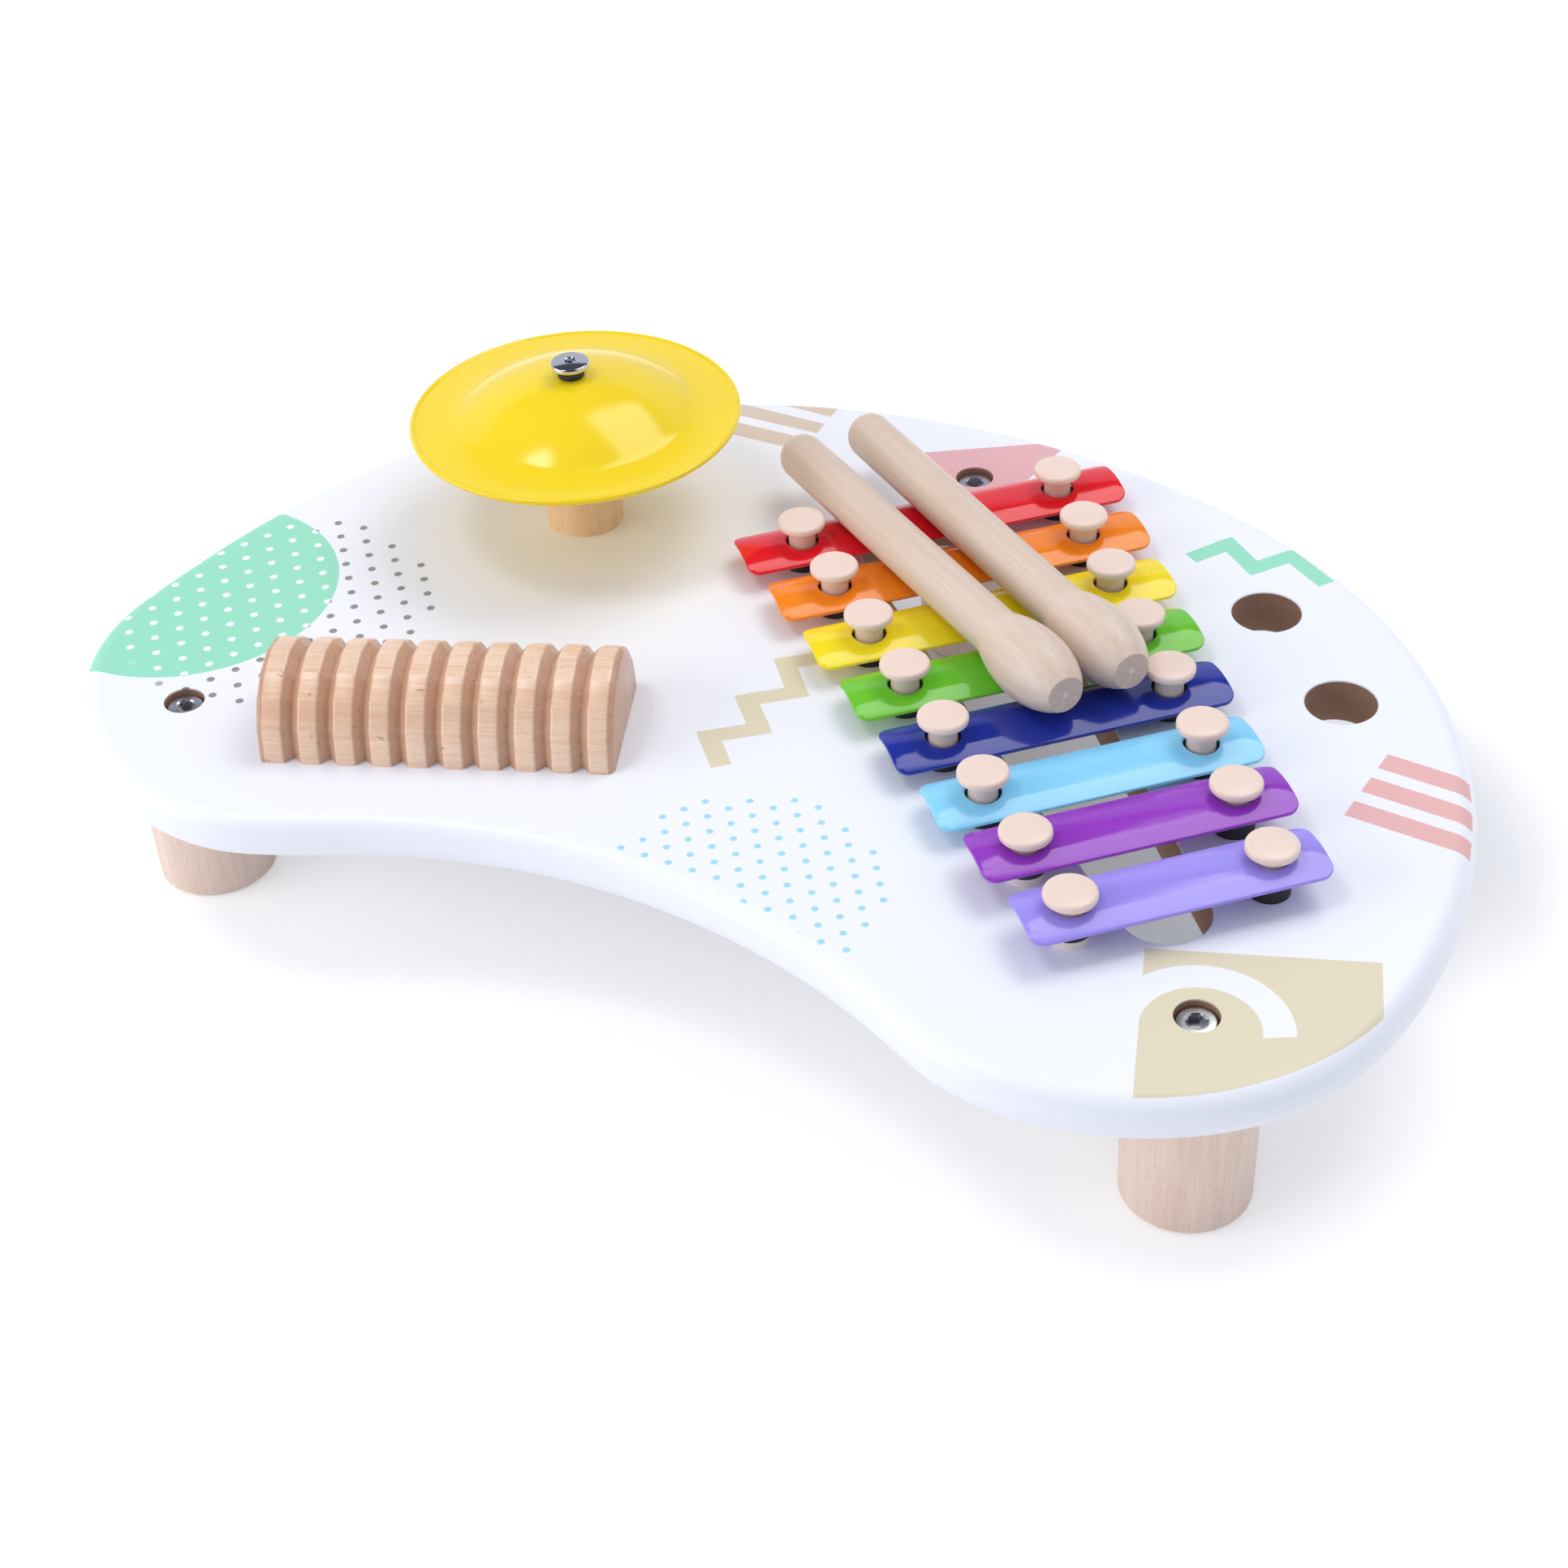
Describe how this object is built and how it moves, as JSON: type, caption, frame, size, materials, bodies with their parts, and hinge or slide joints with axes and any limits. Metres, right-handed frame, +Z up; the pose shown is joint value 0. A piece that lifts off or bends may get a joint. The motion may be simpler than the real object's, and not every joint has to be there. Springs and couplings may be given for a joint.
{
  "type": "musical activity table",
  "caption": "Low kidney-shaped wooden activity table for small children with a coloured metal bar xylophone, a loose cymbal on a post, a ribbed scraper block and wooden mallets.",
  "frame": {"origin": "centre of the board's bounding box, on the floor under the feet", "axes": "+X along the board's long side, -Y out of its hollow front, +Z up"},
  "size_m": [0.4238, 0.2935, 0.1215],
  "materials": {
    "board_paint": "satin white lacquer on MDF, printed with plain dots and stripes",
    "beech": "clear satin lacquer on pale beech",
    "scraper_wood": "clear satin lacquer on reddish beech",
    "mallet_wood": "smooth clear lacquer on pale wood",
    "bolt_steel": "zinc plated",
    "screw_steel": "zinc plated",
    "insert_brass": "plain",
    "screw_chrome": "polished",
    "washer_steel": "plain",
    "cap_plastic": "smooth cream",
    "spacer_plastic": "smooth cream",
    "rubber": "matt black",
    "cymbal_enamel": "yellow enamel on steel sheet",
    "enamel_red": "gloss enamel on steel sheet",
    "enamel_orange": "gloss enamel on steel sheet",
    "enamel_yellow": "gloss enamel on steel sheet",
    "enamel_green": "gloss enamel on steel sheet",
    "enamel_dark_blue": "gloss enamel on steel sheet",
    "enamel_light_blue": "gloss enamel on steel sheet",
    "enamel_purple": "gloss enamel on steel sheet",
    "enamel_lavender": "gloss enamel on steel sheet"
  },
  "bodies": {
    "table": {"table_top": "board_paint", "guiro": "scraper_wood", "guiro_screws": "screw_steel", "post_screw": "screw_steel", "cymbal_post": "beech", "cymbal_washer": "washer_steel", "cymbal_bush": "rubber", "cymbal_screw": "screw_chrome", "leg_left": "beech", "leg_insert_left": "insert_brass", "leg_bolt_left": "bolt_steel", "leg_right": "beech", "leg_insert_right": "insert_brass", "leg_bolt_right": "bolt_steel", "leg_rear": "beech", "leg_insert_rear": "insert_brass", "leg_bolt_rear": "bolt_steel", "pins_red": "cap_plastic", "pads_red": "rubber", "pins_orange": "cap_plastic", "pads_orange": "rubber", "pins_yellow": "cap_plastic", "pads_yellow": "rubber", "pins_green": "cap_plastic", "pads_green": "rubber", "pins_dark_blue": "cap_plastic", "pads_dark_blue": "rubber", "pins_light_blue": "cap_plastic", "pads_light_blue": "rubber", "pins_purple": "cap_plastic", "pads_purple": "rubber", "pins_lavender": "cap_plastic", "pads_lavender": "rubber", "spacer_purple": "spacer_plastic", "spacer_lavender": "spacer_plastic"},
    "bar_dark_blue": {"bar_dark_blue": "enamel_dark_blue"},
    "bar_green": {"bar_green": "enamel_green"},
    "bar_lavender": {"bar_lavender": "enamel_lavender"},
    "bar_light_blue": {"bar_light_blue": "enamel_light_blue"},
    "bar_orange": {"bar_orange": "enamel_orange"},
    "bar_purple": {"bar_purple": "enamel_purple"},
    "bar_red": {"bar_red": "enamel_red"},
    "bar_yellow": {"bar_yellow": "enamel_yellow"},
    "cymbal": {"cymbal": "cymbal_enamel"},
    "cymbal_collar": {"cymbal_collar": "rubber"},
    "mallet_left": {"mallet_left": "mallet_wood"},
    "mallet_right": {"mallet_right": "mallet_wood"}
  },
  "joints": [
    {"name": "bar_red_lift", "type": "slide", "parent": "table", "child": "bar_red", "axis": [0, 0, 1], "range_m": [0, 0.005]},
    {"name": "bar_orange_lift", "type": "slide", "parent": "table", "child": "bar_orange", "axis": [0, 0, 1], "range_m": [0, 0.005]},
    {"name": "bar_yellow_lift", "type": "slide", "parent": "table", "child": "bar_yellow", "axis": [0, 0, 1], "range_m": [0, 0.005]},
    {"name": "bar_green_lift", "type": "slide", "parent": "table", "child": "bar_green", "axis": [0, 0, 1], "range_m": [0, 0.005]},
    {"name": "bar_dark_blue_lift", "type": "slide", "parent": "table", "child": "bar_dark_blue", "axis": [0, 0, 1], "range_m": [0, 0.005]},
    {"name": "bar_light_blue_lift", "type": "slide", "parent": "table", "child": "bar_light_blue", "axis": [0, 0, 1], "range_m": [0, 0.005]},
    {"name": "bar_purple_lift", "type": "slide", "parent": "table", "child": "bar_purple", "axis": [0, 0, 1], "range_m": [0, 0.0018]},
    {"name": "bar_lavender_lift", "type": "slide", "parent": "table", "child": "bar_lavender", "axis": [0, 0, 1], "range_m": [0, 0.0018]},
    {"name": "mallet_left_lift_off", "type": "slide", "parent": "bar_red", "child": "mallet_left", "axis": [0, 0, 1], "range_m": [0, 0.08]},
    {"name": "mallet_right_lift_off", "type": "slide", "parent": "bar_red", "child": "mallet_right", "axis": [0, 0, 1], "range_m": [0, 0.08]},
    {"name": "cymbal_turn", "type": "hinge", "parent": "table", "child": "cymbal_collar", "pos_m": [-0.0994, 0.0453, 0.1155], "axis": [0, 0, 1], "continuous": true},
    {"name": "cymbal_rock", "type": "hinge", "parent": "cymbal_collar", "child": "cymbal", "pos_m": [-0.0994, 0.0453, 0.1155], "axis": [0.9613, 0.2756, 0], "range_deg": [-3, 3]}
  ],
  "couplings": [
    {"joint": "bar_orange_lift", "follows": "bar_red_lift", "ratio": 1},
    {"joint": "bar_yellow_lift", "follows": "bar_red_lift", "ratio": 1},
    {"joint": "bar_green_lift", "follows": "bar_red_lift", "ratio": 1},
    {"joint": "bar_dark_blue_lift", "follows": "bar_red_lift", "ratio": 1}
  ]
}
